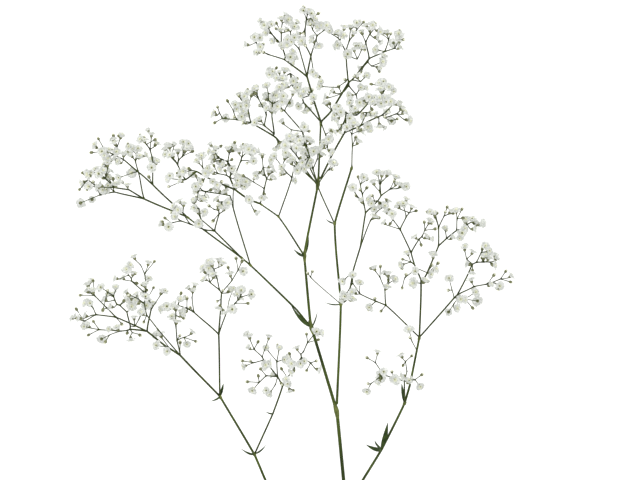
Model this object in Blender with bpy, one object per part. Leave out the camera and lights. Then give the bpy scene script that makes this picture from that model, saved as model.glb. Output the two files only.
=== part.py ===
"""A cut stem of gypsophila, lying on a table: its main stem, its sprays of twigs, blooms and buds, and its leaves.

The stem lies along +Y with its cut end towards -Y. Every fork is placed by eye from a photograph that
looks straight down on it: a fork's row gives its place there in photograph pixels and its height over
the table in millimetres. Blooms and buds stand on their own stalks round the forks.
"""

import itertools
import math
import random

import bmesh
import bpy
import numpy as np
from mathutils import Vector
from mathutils.bvhtree import BVHTree

# Driving dimensions, in millimetres
MM_PER_PIXEL = 0.75
BLOOM_DIAMETER = 7.6
BLOOM_DEPTH = 3.3
BLOOM_HOLLOW = 0.9
NOTCH_SHARE = 0.74
PETALS = 5
BUD_DIAMETER = 2.3
BUD_LENGTH = 2.9
THINNEST_STALK_RADIUS = 0.31
STALK_LENGTH = 6.5
SEAT_GAP = 0.2
THICKEST_STEM_RADIUS = 2.3
FLOWER_GAP = 0.35
LEAF_THICKNESS = 0.8
TABLE_CLEARANCE = 0.6

# Other settled choices
PHOTO_CENTRE = (320, 240)
STEM_GROWTH = 0.2
SIDE_ON_SHARE = 0.5
NODE_SWELL = 1.5
STEM_SIDES = 6
PARTING_ROUNDS = 100
KINDS = {"o": "bloom", "b": "bud", "r": "resting bloom"}
# Along a leaf from its foot to its tip: the share of its length, and of its width
LEAF_SHAPE = ((0.0, 0.3), (0.3, 0.95), (0.65, 0.85), (1.0, 0.25))
SEED = 11
MM = 0.001
GREEN = (0.10, 0.16, 0.035, 1.0)
DARK_GREEN = (0.035, 0.075, 0.02, 1.0)
PALE = (0.83, 0.85, 0.78, 1.0)

# The main stem from its cut end to the fork in the crown: pixel x, pixel y, height and radius in millimetres
MAIN_STEM = (
    (360, 668, 1.75, 1.75),
    (357, 640, 3.4, 1.7),
    (354.5, 606, 5.6, 1.7),
    (354, 601, 6.0, 2.3),
    (353, 594, 6.4, 1.6),
    (346.3, 512, 11.6, 1.5),
    (345.8, 507, 12.0, 2.1),
    (345, 500, 12.5, 1.45),
    (337, 418, 19.2, 1.4),
    (336, 411, 20, 2.1),
    (333.5, 402, 20.8, 1.3),
    (313, 334, 29.4, 1.2),
    (311, 328, 30, 1.9),
    (309.6, 320, 31, 1.1),
    (304.3, 262, 37.4, 1.0),
    (304, 256, 38, 1.6),
    (304.6, 249, 38.7, 0.95),
    (316.2, 191, 45.4, 0.9),
    (317.3, 184.5, 46, 1.8),
    (317.9, 177, 47, 0.8),
    (320, 128, 51.6, 0.7),
    (320.3, 122.5, 52, 1.25),
)

# Each spray: the radius of what carries it, then one row for each fork, as
#   name, the fork it grows from, pixel x, pixel y, height : what it bears
# o is an open bloom and b a bud, each at its pixels; a number before o or b asks for that many round the fork;
# r is a bloom that lies face down on the table.
SPRAYS = {
    "left_low_branch": """
        a   -   354 601 6
        b   a   330 573 9
        c   b   286 521 12
        d   c   265 480 15
        e   d   254 454 17
        f   e   219.5 396 26
    """,
    "left_low_outer_spray": """
        a   -   219.5 396 26
        b   a   180 355 34 : b 180 342
        c   b   170 348.5 35 : o 156 345, o 167 351, o 160 334
        d   c   147 331 36
        e   d   151 310 44 : o 153 302, o 162 291
        f   e   148.5 297 52 : b 154 287, o 143 293
        g   f   146 288 56 : o 145 284, o 149 278, b 147 290
        h   g   145 274 60 : o 149 262, b 155 261
        h2  h   141 265 63 : o 134 256
        i   f   132 281 58 : o 122 277, o 133 272, b 137 283
        j   i   129 275 60 : o 127 269, o 115 278
        k   d   130 329 30 : o 131 340, b 140 335, b 127 333
        l   k   127 312 38 : b 139 303, o 132 306
        m   l   120 305 42 : o 110 306, o 127 298, b 124 300
        n   m   115 300 44 : o 112 293, o 116 287, o 104 299
        o   n   108 292 46 : o 101 287, b 108 290, b 103 310
        p   k   120 331 22 : o 117 327, o 109 329
        q   p   99 329.5 18 : b 93 321, o 87 325, b 88 335
        r   p   109 335 12 : r 101 339, b 105 342
        s   k   135 326 40 : o 134 316
        t   s   139 319 44 : o 142 311, o 146 306
        u   d   116 317 32 : b 122 324
        v   u   107 308 30 : b 103 309
        w   v   94.5 295.5 28 : o 93 290, o 86 290, o 87 284, b 80 295, b 93 280
        x   u   96 314.5 26 : o 84 315, o 78 318
        y   x   93 308 22 : o 90 303, o 86 300
        z   x   84 321 16 : r 85 325, o 74 316, b 76 309
        mb  b   158 329 50
        mc  mb  147 315 58 : o 142 312, b 144 322
        md  mc  144.5 303 64 : o 146 296, o 137 300
        me  md  136 297 68 : o 126 291, b 130 295, o 129 300
        ub  b   177 340 44 : b 180 335
        uc  ub  176 326 54 : o 177 320, o 172 316
        ud  uc  176 315 60 : o 183 314, b 184 318, o 176 307
        ue  ub  184 337 52 : o 187 344, b 196 341, o 193 331
    """,
    "left_low_inner_spray": """
        a   -   219.5 396 26
        b   a   218.5 334 42
        c   b   194 312 50 : b 190 307
        d   c   192 297 56 : o 195 284, o 193 289
        e   c   187 308 50 : b 187 298, o 184 311
        f   e   178 305 50 : o 180 299, o 174 304, b 181 293
        g   f   171 309 48 : o 167 306, o 161 309
        h   b   221 299 58 : o 219 308, b 217 301
        i   h   221.5 293 62 : b 223 290, o 230 290
        j   i   210 282 68 : o 204 278, o 214 275
        k   j   208 273 72 : o 203 267, o 209 268, o 204 270
        l   i   217 278 72 : o 213 274
        m   l   214 269 78 : o 209 261, o 212 263
        n   m   219 267 82 : o 223 262, o 219 259
        o   i   232 280 70 : o 230 273, b 228 267
        p   o   238 270 76 : o 243 271, b 236 258, b 242 261
        q   b   226.5 312 50 : o 232 309
        r   q   229 300 56 : o 233 288
        s   q   235 303 58 : o 240 297, b 248 303
        t   s   240 297 62 : o 241 290, o 251 294, b 244 289
    """,
    "left_low_front_spray": """
        a   -   254 454 17
        b   a   272.5 413 34
        c   b   282 386 50
        d   c   279 377.5 58 : o 272 374, b 281 383
        e   d   276.5 361 68 : o 279 347, o 284 359
        f   e   268.5 351 74 : o 266 347
        g   d   263.5 359.5 72 : o 265 364
        h   g   254 348.5 78 : o 248 346, o 249 335, b 258 341
        i   g   264 350 80 : o 269 335
        j   g   253.5 362 74 : b 242 360, b 250 360, o 243 366
        k   d   266 375 64 : b 260 368
        l   k   259 381.5 62 : b 247 381, o 252 390, b 258 375
        m   d   275 384 54 : o 269 393
        n   c   287 377 60 : o 287 383, o 290 391, b 281 368
        o   n   294 367 68 : o 291 371, o 291 363, b 289 353
        p   o   301 357 74 : o 300 363, o 296 346
        q   p   303 351 80
        r   q   307 342 84 : b 306 333, o 316 331, b 318 339
        s   p   310 362 78 : b 316 360, b 306 370, o 319 369
    """,
    "right_low_branch": """
        a   -   345.8 507 12
        b   a   362 480 15
        c   b   381 449 19
        d   c   404 403 26
        e   d   409 385 30
        f   e   418.5 337 40
    """,
    "right_low_front_spray": """
        a   -   404 403 26
        b   a   403.5 381 40 : o 408 380
        c   b   392 377 50 : o 394 379, b 391 371
        d   c   380.5 374 58 : o 383 371, o 377 382, o 380 377
        e   d   374.5 362 64 : o 377 350, b 366 357
        f   d   370 383 60 : b 367 383, o 366 391
        g   b   406 371 52 : o 401 376
        h   g   404.5 361 60 : o 400 354, b 411 355, b 402 365
        i   b   414 379 52 : b 421 374, o 419 386
    """,
    "right_low_collar_spray": """
        a   -   416 350 37.5
        b   a   411 341 48 : o 408 329, b 409 337
        c   a   424 347.5 48 : b 431 341, o 433 349, o 421 337
    """,
    "right_low_left_spray": """
        a   -   418.5 337 40
        b   a   385 305 54 : b 380 311
        c   b   384 289 60 : o 386 286, o 388 277
        d   c   379 277 66 : o 373 267, b 379.5 266
        e   c   388 283 68 : o 394 279, o 387 273
        f   b   375 301 58 : o 368.5 307, b 374 298
        g   f   359 293.5 64 : o 359 282, o 353 291
        h   g   352 283 70 : o 352 275, o 344 296
    """,
    "right_low_top_spray": """
        a   -   418.5 337 40
        b   a   420 283 56 : o 412 283, o 424 280
        c   b   415 268 62 : o 414 271, o 430 274
        d   c   403.5 278 66 : b 405 274, b 401 288
        e   c   410 262 66 : o 400 265, b 401 259, o 406 252
        f   c   410 252.5 70
        g   f   399 229.5 78 : o 382 222
        h   g   392 220 82 : o 391 214, o 385 211, b 389 224
        i   g   405 217 84 : o 402 204
        j   i   408 213 88 : o 411 206, o 396 206, b 415 211
        k   f   418 239 74 : o 413 236, o 426 236, b 420 245
        l   k   423.5 230.5 78 : b 423 222, b 434 229, o 429 221
        ub  b   425 275 54 : b 431 265, b 437 263
        uc  ub  432 259 50 : o 432 255
        ud  uc  437.5 246 46
        ue  ud  437.5 227.5 54 : b 434 217
        uf  ue  435 218 58 : o 433 213, o 429 212
        ug  ue  443 216 60 : b 446 207, b 444 212, o 450 211
        uh  ud  445.5 238.5 40 : o 444 228, o 452 237
        ui  uh  455.5 230.5 38 : o 461 233, o 463 229
        uj  ui  456 219 42 : o 455 210, b 461 209, b 462 218
        uk  ui  466 226 32 : o 465 220, o 474 229, b 464 222
        ul  uk  471 222 30 : o 471 219, o 480 224, o 476 222
    """,
    "right_low_right_spray": """
        a   -   418.5 337 40
        b   a   453 298 34
        c   b   451 290 44 : o 448 278, b 447 290
        d   b   466 276 40
        e   d   471.5 265 46 : o 471 273, o 466 264
        f   e   465.5 259 54 : o 463 247, o 472 251
        g   e   480 252.5 50 : o 484 246, o 488 251, b 481 249
        h   e   482 263.5 42 : o 483 256, o 488 257, b 482 261
        i   h   489 262 40 : o 496 258, o 494 265, b 491 264
        j   b   473 286.5 28 : o 470 279
        k   j   486 284 24 : o 490 284, b 493 275
        l   k   499.5 279 20 : b 505 271, o 511 275, b 510 282
        m   k   494 283 22 : o 499 286
        n   b   457 298 22 : o 458 298
        o   n   464 299 14 : o 475 292, r 477 301, b 472 308
        p   n   453 304 16 : r 448 312, o 456 308
    """,
    "second_stem": """
        a   -   336 411 20
        b   a   340.3 304 44
        c   b   333.7 223.5 62
        d   c   351 168 74
    """,
    "second_left_twig": """
        a   -   340.3 304 44
        b   a   310 277 56 : b 307 273, b 312 271
    """,
    "second_right_spray": """
        a   -   340.3 304 44
        b   a   347 299 50 : o 343 295, o 352 298
        c   b   352 272 62 : o 342 281
        d   c   359.5 247 72
        e   d   364.7 213 82
        f   e   363 204.5 86 : o 360 200, b 355 196
        g   f   354 193 90 : o 352 188, o 349 186
        h   f   361.5 194.5 92 : b 359 190, b 366 188
        i   h   359.5 185 95 : b 357 177, o 363 178, b 366 180
        j   e   377 201 84 : o 371 203, b 371 196, o 380 205
        k   j   380 196 88 : o 379 181, o 372 182
        l   k   379 184 92 : o 376 173, o 381 174, o 387 174
        m   k   389 189.5 84 : o 395 177, o 396 183
        n   m   396 189 80 : o 401 185, o 405 187
        o   d   370 220 74 : o 374 215, b 378 218
        p   o   376 212 78 : o 373 210, o 384 206, o 387 201
    """,
    "second_crossing_spray": """
        a   -   333.7 223.5 62
        b   a   317 186 74
        c   b   304 168 80
        d   c   296 156 84 : o 296 149, o 303 158
        e   d   291 150 87 : o 285 146, o 289 137
        f   c   309 157 86 : o 302 163
        g   f   305 146 90 : o 299 141, o 308 139
        h   g   302 133 93 : b 309 132, o 304 128
        i   b   327 171 80 : o 333 163, b 332 170, b 336 165
    """,
    "second_top_spray": """
        a   -   351 168 74
        b   a   351.7 146.5 80 : o 358 142, b 355 138
        c   b   351 135 85 : o 346 128, o 353 124, b 360 131
        d   a   362 150 74
        e   d   371 134.5 72 : o 375 140, o 372 131
        f   e   372 124 76 : o 378 126, o 366 131
    """,
    "upper_left_branch": """
        a   -   311 328 30
        b   a   296 309.5 32
        c   b   250 265 36
        d   c   241 257.5 37
        e   d   201 228 40
        f   e   187 217 41
    """,
    "upper_left_outer_spray": """
        a   -   187 217 41
        b   a   144 199 32
        c   b   114 192 22 : o 108 186
        d   c   100 195 14
        e   d   92 198 9 : r 80 203, r 91.5 199.5
        f   d   96 187 18 : o 88 186, b 93 182
        g   f   88 180 20 : o 81 183, b 79 190, b 84 174
        h   c   113 187 28 : o 103 190, o 108 177, b 113 179
        i   b   129 190 30 : o 127 184, b 122 182
        j   i   116 188 34 : o 116 184, o 100 185
        k   j   107 180 38 : o 99 174, o 106 172, b 103 178
        l   k   98 172 34 : o 88 174, o 96 168, b 83 173, b 90 176
        m   k   108 168 44 : o 103 165, o 108 163, b 112 160
        n   b   138 171 42 : o 132 173
        o   n   135.5 161 48 : o 131 155, o 138 149
        p   o   139 157 52 : o 140 156, o 129 147
    """,
    "upper_left_middle_spray": """
        a   -   187 217 41
        b   a   153 185 52 : b 149 177
        c   b   138 172 58 : o 119 178
        d   c   124 160 64 : o 119 162, o 124 154
        e   d   114 155 68 : o 117 152, o 109 158
        f   e   108 152 70 : o 110 150, o 103 152, b 92 153
        g   f   104 148 73 : b 99 139, o 95 147
        h   e   118 147 72 : o 115 143, b 114 136, o 122 136
        i   b   153 174 60 : o 152 168, o 157 162, b 150 165
        j   i   152.5 158 66
        k   j   150.5 150 70 : o 152 134, o 156 143
        l   k   147 145 74 : o 145 140, o 141 140, b 141 136, b 156 140
        nb  a   181 211 50 : o 176 216, o 185 212, b 165 218
        nc  nb  177 205 56 : o 171 209, o 184 204, o 180 200
        nd  a   174 222 38 : o 170 227, o 161 224
    """,
    "upper_left_low_twig": """
        a   -   241 257.5 37
        b   a   214.5 231 54
        c   b   201 219.5 60 : o 199 224, o 197 211
        d   c   199 209 64 : o 204 213, o 194 208, b 193 202
        e   b   219 214 62 : o 225 208, b 213 221
        f   e   214 209.5 66 : b 209 206, o 220 207
        g   e   222 202 70 : o 216 199, o 228 203
        h   b   205 230 58
        i   h   190 224 61
        j   i   181 221 65 : o 175 217, b 172 213
        k   j   172 223 68 : o 161 224, o 169 227, b 165 218
        l   i   183 213 67 : o 184 203, o 178 210
    """,
    "upper_left_upright_spray": """
        a   -   250 265 36
        b   a   233 208 60
        c   b   230 196 66 : o 225 191, o 218 190
        d   c   206 192 70 : o 200 197, o 195 191, b 211 190
        e   d   200 188 74 : b 198 183, o 196 187, b 196 176
        f   e   197 199 70 : o 194 200, o 204 199
        g   b   234 186 72 : o 240 181, o 245 182
    """,
    "middle_left_branch": """
        a   -   304 256 38
        b   a   278.3 216.5 58
        c   b   260 204 66
    """,
    "middle_left_spray": """
        a   -   260 204 66
        b   a   249 200 70 : o 249 200, o 257 213
        c   b   235 190 76 : o 243 183
        d   c   218 183 82 : o 213 182, b 222 182
        e   d   206.5 179 86 : b 207 176, b 203 182, o 200 181
        f   e   197 172 88 : b 189 169, o 184 172, o 192 175
        g   e   203 168 92 : o 197 161, o 202 156
        h   f   186 180 84 : o 180 181, o 168 179, b 178 174
        i   h   178 165 88 : o 173 155, o 178 151, o 165 149
        j   i   183 157 92 : o 184 143, o 190 148, b 193 152, o 186 149
        k   i   172 157 90 : b 175 145, o 170 146, o 168 154
        l   h   170 187 80 : b 169 187
        tb  c   230 178 84 : o 238 181, b 225 171
        tc  tb  218 174 90 : o 212 172, o 208 169, b 214 166
        td  tb  229 163 94 : o 231 168, o 223 165, b 232 160
        te  td  222 160 98 : o 216 157, o 212 158, o 219 163
        tf  te  215 153 100 : o 209 152, o 216 148, b 221 147
        tg  td  229.5 154 100 : o 228 149, b 235 143, o 235 150
        th  tb  236 173 90
        ti  th  241 161.5 96 : o 239 151, o 244 148
        tj  ti  247 153 99 : o 249 150, o 246 147, o 253 156
        tk  ti  250 161 94 : o 253 162, b 247 164
    """,
    "middle_near_spray": """
        a   -   260 204 66
        b   a   264 189 76 : o 264 197
        c   b   266.5 179 82 : o 262 173, o 273 178, o 269 172
        d   c   263 168 86 : o 262 155, o 271 166, o 257 174
        e   b   253.5 182.5 80 : b 243 176, b 254 179
        f   a   268.5 201 72 : o 273 195, o 268 208
        g   f   277 202 76 : b 276 199, b 280 204
    """,
    "middle_right_spray": """
        a   -   278.3 216.5 58
        b   a   291.5 178 74 : o 295 181
        c   b   286 173 80 : o 281 173, o 274 157
        d   c   282 166 84 : o 281 167, o 285 157
        e   b   294 166 80 : o 290 162, o 297 171
    """,
    "crown_left_spray": """
        a   -   317.3 184.5 46
        b   a   303 171 42
        c   b   291 156.5 38 : o 299 166, o 285 153
        d   c   275.5 138 33 : o 279 147, o 283 143
        ob  d   250.5 123 22 : o 243 122
        oc  ob  247.5 109 28 : o 246 106, b 251 96
        od  ob  237 120 16 : o 241 117, b 234 117
        oe  od  222 118.5 12 : r 225 118, b 214 123
        of  oe  219 113 14 : o 213 114, b 217 107
        og  od  233 111 24 : o 235 105, o 240 107, b 227 101
        oh  oc  241 100 34 : o 238 94, o 244 97, b 247 90
        oi  d   264 126 40 : o 259 119, o 254 123
        oj  oi  266 115 46 : o 262 105, b 266 110
        ok  oj  258 99 50 : o 256 88, o 251 92, b 255 94
        ib  d   271.5 117 42 : o 271 110
        ic  ib  272 104 50 : o 264 98, o 277 107, b 273 99
        id  ic  268 94 55 : o 266 86, o 275 96
        ie  ic  282 98 56 : o 283 97, o 279 88, b 276 98
    """,
    "crown_back_spray": """
        a   -   317.3 184.5 46
        b   a   308 165 30
        c   b   302 132 22
        d   c   284 111 20 : o 278 107, b 281 111
        e   d   289 101.5 14 : r 289 103, o 293 92
        f   d   276 104 24 : o 270 99, o 272 110
        g   c   291 130 14 : r 290 137, o 281 121
        h   b   299 148 20 : o 295 149, o 303 152, o 293 140
    """,
    "crown_front_spray": """
        a   -   317.3 184.5 46
        b   a   312.5 169.5 58 : o 308 166
        c   b   309 156.5 64 : o 303 152, o 313 152
        d   b   316.5 160 64 : o 318 150, o 322 154
        e   c   306 145 70 : o 311 142, o 301 144
    """,
    "crown_right_spray": """
        a   -   317.3 184.5 46
        b   a   331 156 48 : o 329 150
        c   b   344 133 49
        rb  c   361 126.5 42 : o 353 123, b 357 128
        rc  rb  368 121.5 36 : o 367 127, o 361 132
        rd  rc  378 117 30 : o 374 115, o 379 127
        re  rd  384 119 22 : o 386 112, b 384 117
        rf  re  390 121 12 : r 391 121, b 397 119
        rg  re  396 114 20 : o 401 107, o 404 112, o 408 120
        rh  rd  391 106 30 : o 386 103, o 390 102, o 398 104
        ri  rb  366 113 48 : o 361 117, b 370 113, o 355 111
        tb  c   345 112 60 : o 335 108, o 340 113, o 336 121
        tc  tb  356 116 68 : o 354 110, o 349 104
        td  tc  367 104.5 74 : o 362 99, o 368 98, b 371 110
        te  td  376 104 72 : o 372 103, o 379 104
        tf  te  381 96 74 : o 380 90, o 384 99
        tg  tf  385 88 76 : o 379 84, o 388 88, b 370 85
        th  tb  344 121 66 : o 349 119, o 334 133, o 339 127
    """,
    "crown_low_spray": """
        a   -   320.3 122.5 52
        b   a   325 135 66 : o 328 140, b 331 131
        c   b   327 147 72 : o 321 147, o 331 153, b 320 143
    """,
    "crown_top_left_spray": """
        a   -   320.3 122.5 52
        b   a   303 103 40 : o 298 107, o 307 110
        c   b   291 85 34 : o 285 86, o 297 88
        d   c   290 74 32 : o 293 82, b 297 79
        e   d   282 78 26 : o 282 79, o 275 76, o 285 70
        f   e   273 73 22 : o 269 75, o 268 69, b 276 68
        g   b   309 96 44 : o 303 92, o 309 90
    """,
    "crown_peak_spray": """
        a   -   320.3 122.5 52
        b   a   314.5 105 56 : o 313 99, b 311 104
        c   b   306.5 77.5 60
        pb  c   310.3 57 68
        pc  pb  305 46.5 74 : o 301 42, b 305 47
        pd  pc  304.5 31 80 : o 297 35, b 303 35
        pe  pd  306 21 84 : o 303 12, o 309 12, b 303 9
        pf  pe  311 20 86 : o 315 20, b 318 15, o 308 24
        pg  pb  315.5 41 76 : o 317 46, o 311 42
        ph  pg  312 31 80 : b 310 26, o 313 24
        pi  pg  323.5 31.5 78 : o 326 27, o 318 28
        pj  pb  313 72 66 : o 312 73, b 319 78
        lb  c   284.5 60.5 50 : o 292 63, o 290 58
        lc  lb  281 46 56 : o 282 47
        ld  lc  274 38 58 : o 272 42, o 267 32, b 277 42
        le  ld  268 29 60 : o 265 27, o 270 25
        lf  lc  281 34 62 : o 280 30, o 287 30, b 276 24
        lg  lf  282 24 66 : o 281 19, o 288 21, b 291 19
        lh  lb  267.5 55 44 : b 263 53
        li  lh  258 50 42 : o 256 53, o 260 48
        lj  li  256 43 40 : o 254 38, o 245 45
        mb  c   298.7 50 62 : b 299 45
        mc  mb  291 42 64 : o 288 41, o 294 39, o 285 44
        md  mc  290 33 68 : o 294 28, b 286 32
    """,
    "crown_top_right_spray": """
        a   -   320.3 122.5 52
        b   a   331 111 46 : o 325 103, b 329 104
        c   b   348 83 42 : b 344 80
        lb  c   345.5 56 52 : o 347 55
        lc  lb  339.5 42 58 : o 337 46, o 337 33
        ld  lc  341 34 62 : o 343 36, o 344 28
        le  lc  331 35 58 : o 327 29
        lf  lb  348.5 42 62 : o 353 34, o 350 27
        lg  lf  356 31 66 : o 356 24, b 363 23, b 355 28
        lh  lb  356.5 60 60 : o 353 49, o 362 48
        ob  c   368.5 59 32 : o 359 69
        oc  ob  365 43 38 : o 361 32, b 364 51
        od  oc  369 35 42 : o 369 29, o 377 38
        oe  od  374 29 44 : o 372 26, o 379 31
        of  ob  384 52 24 : o 375 50
        og  of  388 40 26 : o 386 32, b 390 34, b 381 34
        oh  of  394 48.5 16 : r 393 43, o 400 47
        oi  oh  399 40 18 : o 398 34, b 403 40
        oj  ob  371 66.5 26 : o 379 68, o 382 62
        ok  c   360 82 38 : o 356 76, o 366 76
        wb  c   355.5 95 34 : o 360 88, o 349 96
        wc  wb  357 104 28 : o 359 103, o 350 107
        wd  c   341 94 32 : o 331 91, b 338 87, o 324 97
        we  c   336 88 52 : o 319 87
    """,
}

# Each leaf: the pixels and height of its node, those of its tip, its width and the droop of its middle
LEAVES = {
    "leaf_upper_left": ((311, 328, 30), (290.5, 305, 41), 2.8, 3.0, 1.9),
    "leaf_upper_right": ((311, 328, 30), (317, 311, 44), 1.2, 0.6, 1.9),
    "leaf_middle_left": ((304, 256, 38), (293, 249, 47), 2.2, 1.4, 1.6),
    "leaf_middle_right": ((304, 256, 38), (308, 236, 30), 2.6, 1.0, 1.6),
    "leaf_second_left": ((340.3, 304, 44), (324, 302, 42), 1.2, 0.4, 1.6),
    "leaf_second_top": ((333.7, 223.5, 62), (325, 219, 58), 1.2, 0.4, 1.2),
    "leaf_low_left_a": ((254, 454, 17), (240, 448, 24), 1.8, 3.4, 1.4),
    "leaf_low_left_b": ((254, 454, 17), (266, 444, 26), 1.5, 1.4, 1.4),
    "leaf_low_inner_a": ((219.5, 396, 26), (210, 401, 33), 1.6, 1.6, 1.3),
    "leaf_low_inner_b": ((219.5, 396, 26), (223, 383, 20), 2.2, 1.0, 1.3),
    "leaf_low_right_a": ((381, 449, 19), (365, 444, 27), 3.4, 2.2, 1.4),
    "leaf_low_right_b": ((381, 449, 19), (387, 422, 30), 4.0, 0.8, 1.4),
    "leaf_low_right_c": ((381, 449, 19), (374, 440, 8), 1.8, 0.6, 1.4),
    "leaf_collar_left": ((404, 403, 26), (401, 383, 18), 2.6, 1.6, 1.4),
    "leaf_front_twig": ((272.5, 413, 34), (265, 411, 39), 1.3, 0.6, 0.9),
    "leaf_table": ((354, 601, 6), (326, 600, 0.4), 3.6, 0.0, 2.3),
    "leaf_lower_right": ((345.8, 507, 12), (333, 489, 18), 2.6, 1.4, 2.1),
}


def spot(pixel_x, pixel_y, height):
    """A place in the photograph as a point in millimetres."""
    return Vector(((pixel_x - PHOTO_CENTRE[0]) * MM_PER_PIXEL, (PHOTO_CENTRE[1] - pixel_y) * MM_PER_PIXEL, height))


class Joint:
    """A fork, or the bloom or bud at the end of a stalk."""

    def __init__(self, place, parent, kind="fork"):
        self.place = place
        self.traced = place.copy()
        self.parent = parent
        self.kind = kind
        self.children = []
        self.seated = []
        self.side_on = False
        self.facing = Vector((0, 0, 1))
        if parent is not None:
            parent.children.append(self)

    def burden(self):
        """How many blooms and buds hang on this joint, those of the sprays seated on it too."""
        return max(1, sum(other.burden() for other in self.children + self.seated))

    def radius(self):
        return THINNEST_STALK_RADIUS * self.burden() ** STEM_GROWTH

    def family(self):
        found = [self]
        for child in self.children:
            found += child.family()
        return found

    def along(self):
        return (self.place - self.parent.place).normalized()

    def back(self):
        """Where the stalk meets the bloom or bud."""
        depth = {"bud": 0.6 * BUD_LENGTH}.get(self.kind, BLOOM_DEPTH)
        return self.place if self.kind == "fork" else self.place - self.facing * depth


# Reading the tables

def stalk_end(fork, x, y, kind, turn, chance):
    """Where a bloom or bud sits: at its pixels, above or below its fork by what its stalk leaves over."""
    flat = spot(x, y, fork.place.z) - fork.place
    length = max(STALK_LENGTH * chance.uniform(0.8, 1.15), flat.length * 1.06)
    rise = math.sqrt(max(0.0, length**2 - flat.length**2))
    side = -1 if turn % 3 == 2 else 1
    return fork.place + flat + Vector((0, 0, side * rise))


def read_spray(rows, chance):
    """The tree of forks, blooms and buds that a spray's rows describe."""
    forks = {}
    for row in rows.strip().splitlines():
        place, _, borne = row.partition(":")
        name, parent, x, y, height = place.split()
        fork = Joint(spot(float(x), float(y), float(height)), forks.get(parent))
        forks[name] = fork
        for turn, item in enumerate(filter(None, (words.strip() for words in borne.split(",")))):
            letter, item_x, item_y = item.split()
            kind = KINDS[letter]
            if kind == "resting bloom":
                end = spot(float(item_x), float(item_y), 0)
            else:
                end = stalk_end(fork, float(item_x), float(item_y), kind, turn, chance)
            flower = Joint(end, fork, kind)
            flower.side_on = kind != "bud" and chance.random() < SIDE_ON_SHARE
    return next(iter(forks.values()))


def seat_sprays(sprays):
    """Tell each fork which sprays start at it, so that it is thick enough to carry them."""
    forks = []
    for root in sprays.values():
        near = [fork for fork in forks if (fork.place - root.place).length < 1.0]
        if near:
            near[0].seated.append(root)
        forks += [joint for joint in root.family() if joint.kind == "fork" and joint is not root]


# Moving the blooms and buds clear of one another and of the twigs

def face_flower(flower):
    """Turn a bloom along its stalk and either up or on towards the crown, and a resting bloom flat down."""
    if flower.kind == "resting bloom":
        flower.facing = Vector((0, 0, -1))
        return
    along = flower.along()
    if flower.side_on:
        wanted = Vector((along.x, along.y + 0.4, 0.3 * along.z)).normalized()
    else:
        wanted = (along + Vector((0, 0, 0.7 if flower.kind == "bloom" else 0.15))).normalized()
    flower.facing = wanted if along.dot(wanted) > 0.5 else (along + wanted).normalized()


def reach(axes, radii, depths, directions):
    """How far a flat round body reaches from its middle in a direction."""
    share = np.clip(np.sum(axes * directions, axis=-1) ** 2, 0, 1)
    return np.sqrt(radii**2 * (1 - share) + depths**2 * share)


def push(need, directions):
    """A step that widens each gap, mostly upwards or downwards so that the view from above stays as it is."""
    step = directions * np.array((0.35, 0.35, 1.0))
    step[..., 2] += np.where(directions[..., 2] >= 0, 0.25, -0.25)
    return (np.clip(need, 0, 2.5)[..., None] * step).sum(axis=1)


def part_flowers(sprays):
    joints = [joint for root in sprays.values() for joint in root.family()]
    flowers = [joint for joint in joints if joint.kind != "fork"]
    twigs = [joint for joint in joints if joint.parent is not None]
    number = {joint: index for index, joint in enumerate(twigs)}
    own = np.zeros((len(flowers), len(twigs)), dtype=bool)
    for index, flower in enumerate(flowers):
        own[index, number[flower]] = True
    is_bud = np.array([flower.kind == "bud" for flower in flowers])
    resting = np.array([flower.kind == "resting bloom" for flower in flowers])
    radii = np.where(is_bud, BUD_DIAMETER / 2, BLOOM_DIAMETER / 2)
    depths = np.where(is_bud, BUD_LENGTH / 2, BLOOM_DEPTH / 2)
    thick = np.array([twig.radius() for twig in twigs])
    traced = np.array([flower.traced for flower in flowers])
    itself = np.eye(len(flowers), dtype=bool)
    for _ in range(PARTING_ROUNDS):
        for flower in flowers:
            face_flower(flower)
        axes = np.array([flower.facing for flower in flowers])
        places = np.array([flower.place for flower in flowers])
        middles = places - axes * depths[:, None]
        apart = middles[:, None] - middles[None]
        far = np.linalg.norm(apart, axis=2) + 1e-6
        ways = apart / far[..., None]
        need = reach(axes[:, None], radii[:, None], depths[:, None], ways)
        need = need + reach(axes[None], radii[None], depths[None], ways) + FLOWER_GAP - far
        need[itself] = 0
        step = 0.5 * push(need, ways)
        starts = np.array([twig.parent.place for twig in twigs])
        spans = np.array([twig.back() for twig in twigs]) - starts
        share = np.einsum("ijk,jk->ij", middles[:, None] - starts[None], spans) / (spans**2).sum(axis=1)
        nearest = starts[None] + np.clip(share, 0, 1)[..., None] * spans[None]
        apart = middles[:, None] - nearest
        far = np.linalg.norm(apart, axis=2) + 1e-6
        ways = apart / far[..., None]
        need = reach(axes[:, None], radii[:, None], depths[:, None], ways) + thick[None] + FLOWER_GAP - far
        need[own] = 0
        step += 0.7 * push(need, ways)
        step[:, :2] += 0.1 * (traced - places)[:, :2]
        places = places + np.where(resting[:, None], 0, np.clip(step, -1.5, 1.5))
        lowest = TABLE_CLEARANCE + BLOOM_DIAMETER / 2 + 0.4
        places[:, 2] = np.where(resting, 0, np.maximum(places[:, 2], lowest))
        for flower, place in zip(flowers, places):
            flower.place = Vector(place)
    for flower in flowers:
        face_flower(flower)


# Skinning a tree of joints as one closed body

def ring_axes(direction):
    side = direction.orthogonal().normalized()
    return side, direction.cross(side)


def ring_points(centre, direction, radius, turn, sides=3):
    side, up = ring_axes(direction)
    angles = [turn + math.tau * step / sides for step in range(sides)]
    return [centre + radius * (math.cos(angle) * side + math.sin(angle) * up) for angle in angles]


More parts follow.
